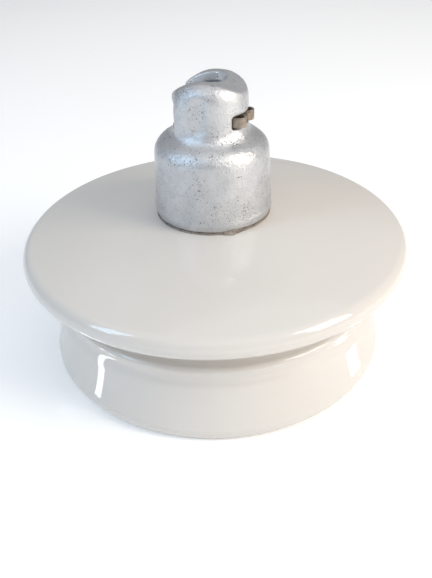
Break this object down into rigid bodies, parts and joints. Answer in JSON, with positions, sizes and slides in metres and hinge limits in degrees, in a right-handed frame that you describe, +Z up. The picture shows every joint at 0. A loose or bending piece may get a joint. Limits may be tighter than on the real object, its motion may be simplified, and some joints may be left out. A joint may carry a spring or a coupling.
{
  "type": "disc suspension insulator",
  "caption": "Double-shed glazed porcelain disc insulator with an iron socket cap, a steel ball pin recessed under the skirt and a sliding locking clip.",
  "frame": {"origin": "on the string's axis, level with the lower rim that it stands on", "axes": "+Z up along the string's axis towards the socket; +X out through the locking clip's loops, away from the socket's side mouth; +Y completes the frame"},
  "size_m": [0.255, 0.255, 0.188],
  "materials": {
    "porcelain": "pale grey-white gloss glaze",
    "galvanised_iron": "hot-dip galvanised casting, dull and pitted",
    "galvanised_steel": "hot-dip galvanised forging, smooth and dull",
    "cement": "rough brown-grey portland cement",
    "sand": "porcelain grit fired on",
    "bitumen": "dull black film",
    "cork": "cork and felt disc",
    "clip_bronze": "dull phosphor bronze"
  },
  "bodies": {
    "insulator": {"porcelain_body": "porcelain", "cap": "galvanised_iron", "ball_pin": "galvanised_steel", "cap_cement": "cement", "pin_cement": "cement", "head_sand_band": "sand", "bore_sand_band": "sand", "cap_bitumen_lining": "bitumen", "pin_bitumen_coat": "bitumen", "head_cushion": "cork", "pin_cushion": "cork"},
    "clip": {"locking_clip": "clip_bronze"}
  },
  "joints": [
    {"name": "clip_slide", "type": "slide", "parent": "insulator", "child": "clip", "axis": [1, 0, 0], "range_m": [0, 0.009]}
  ]
}
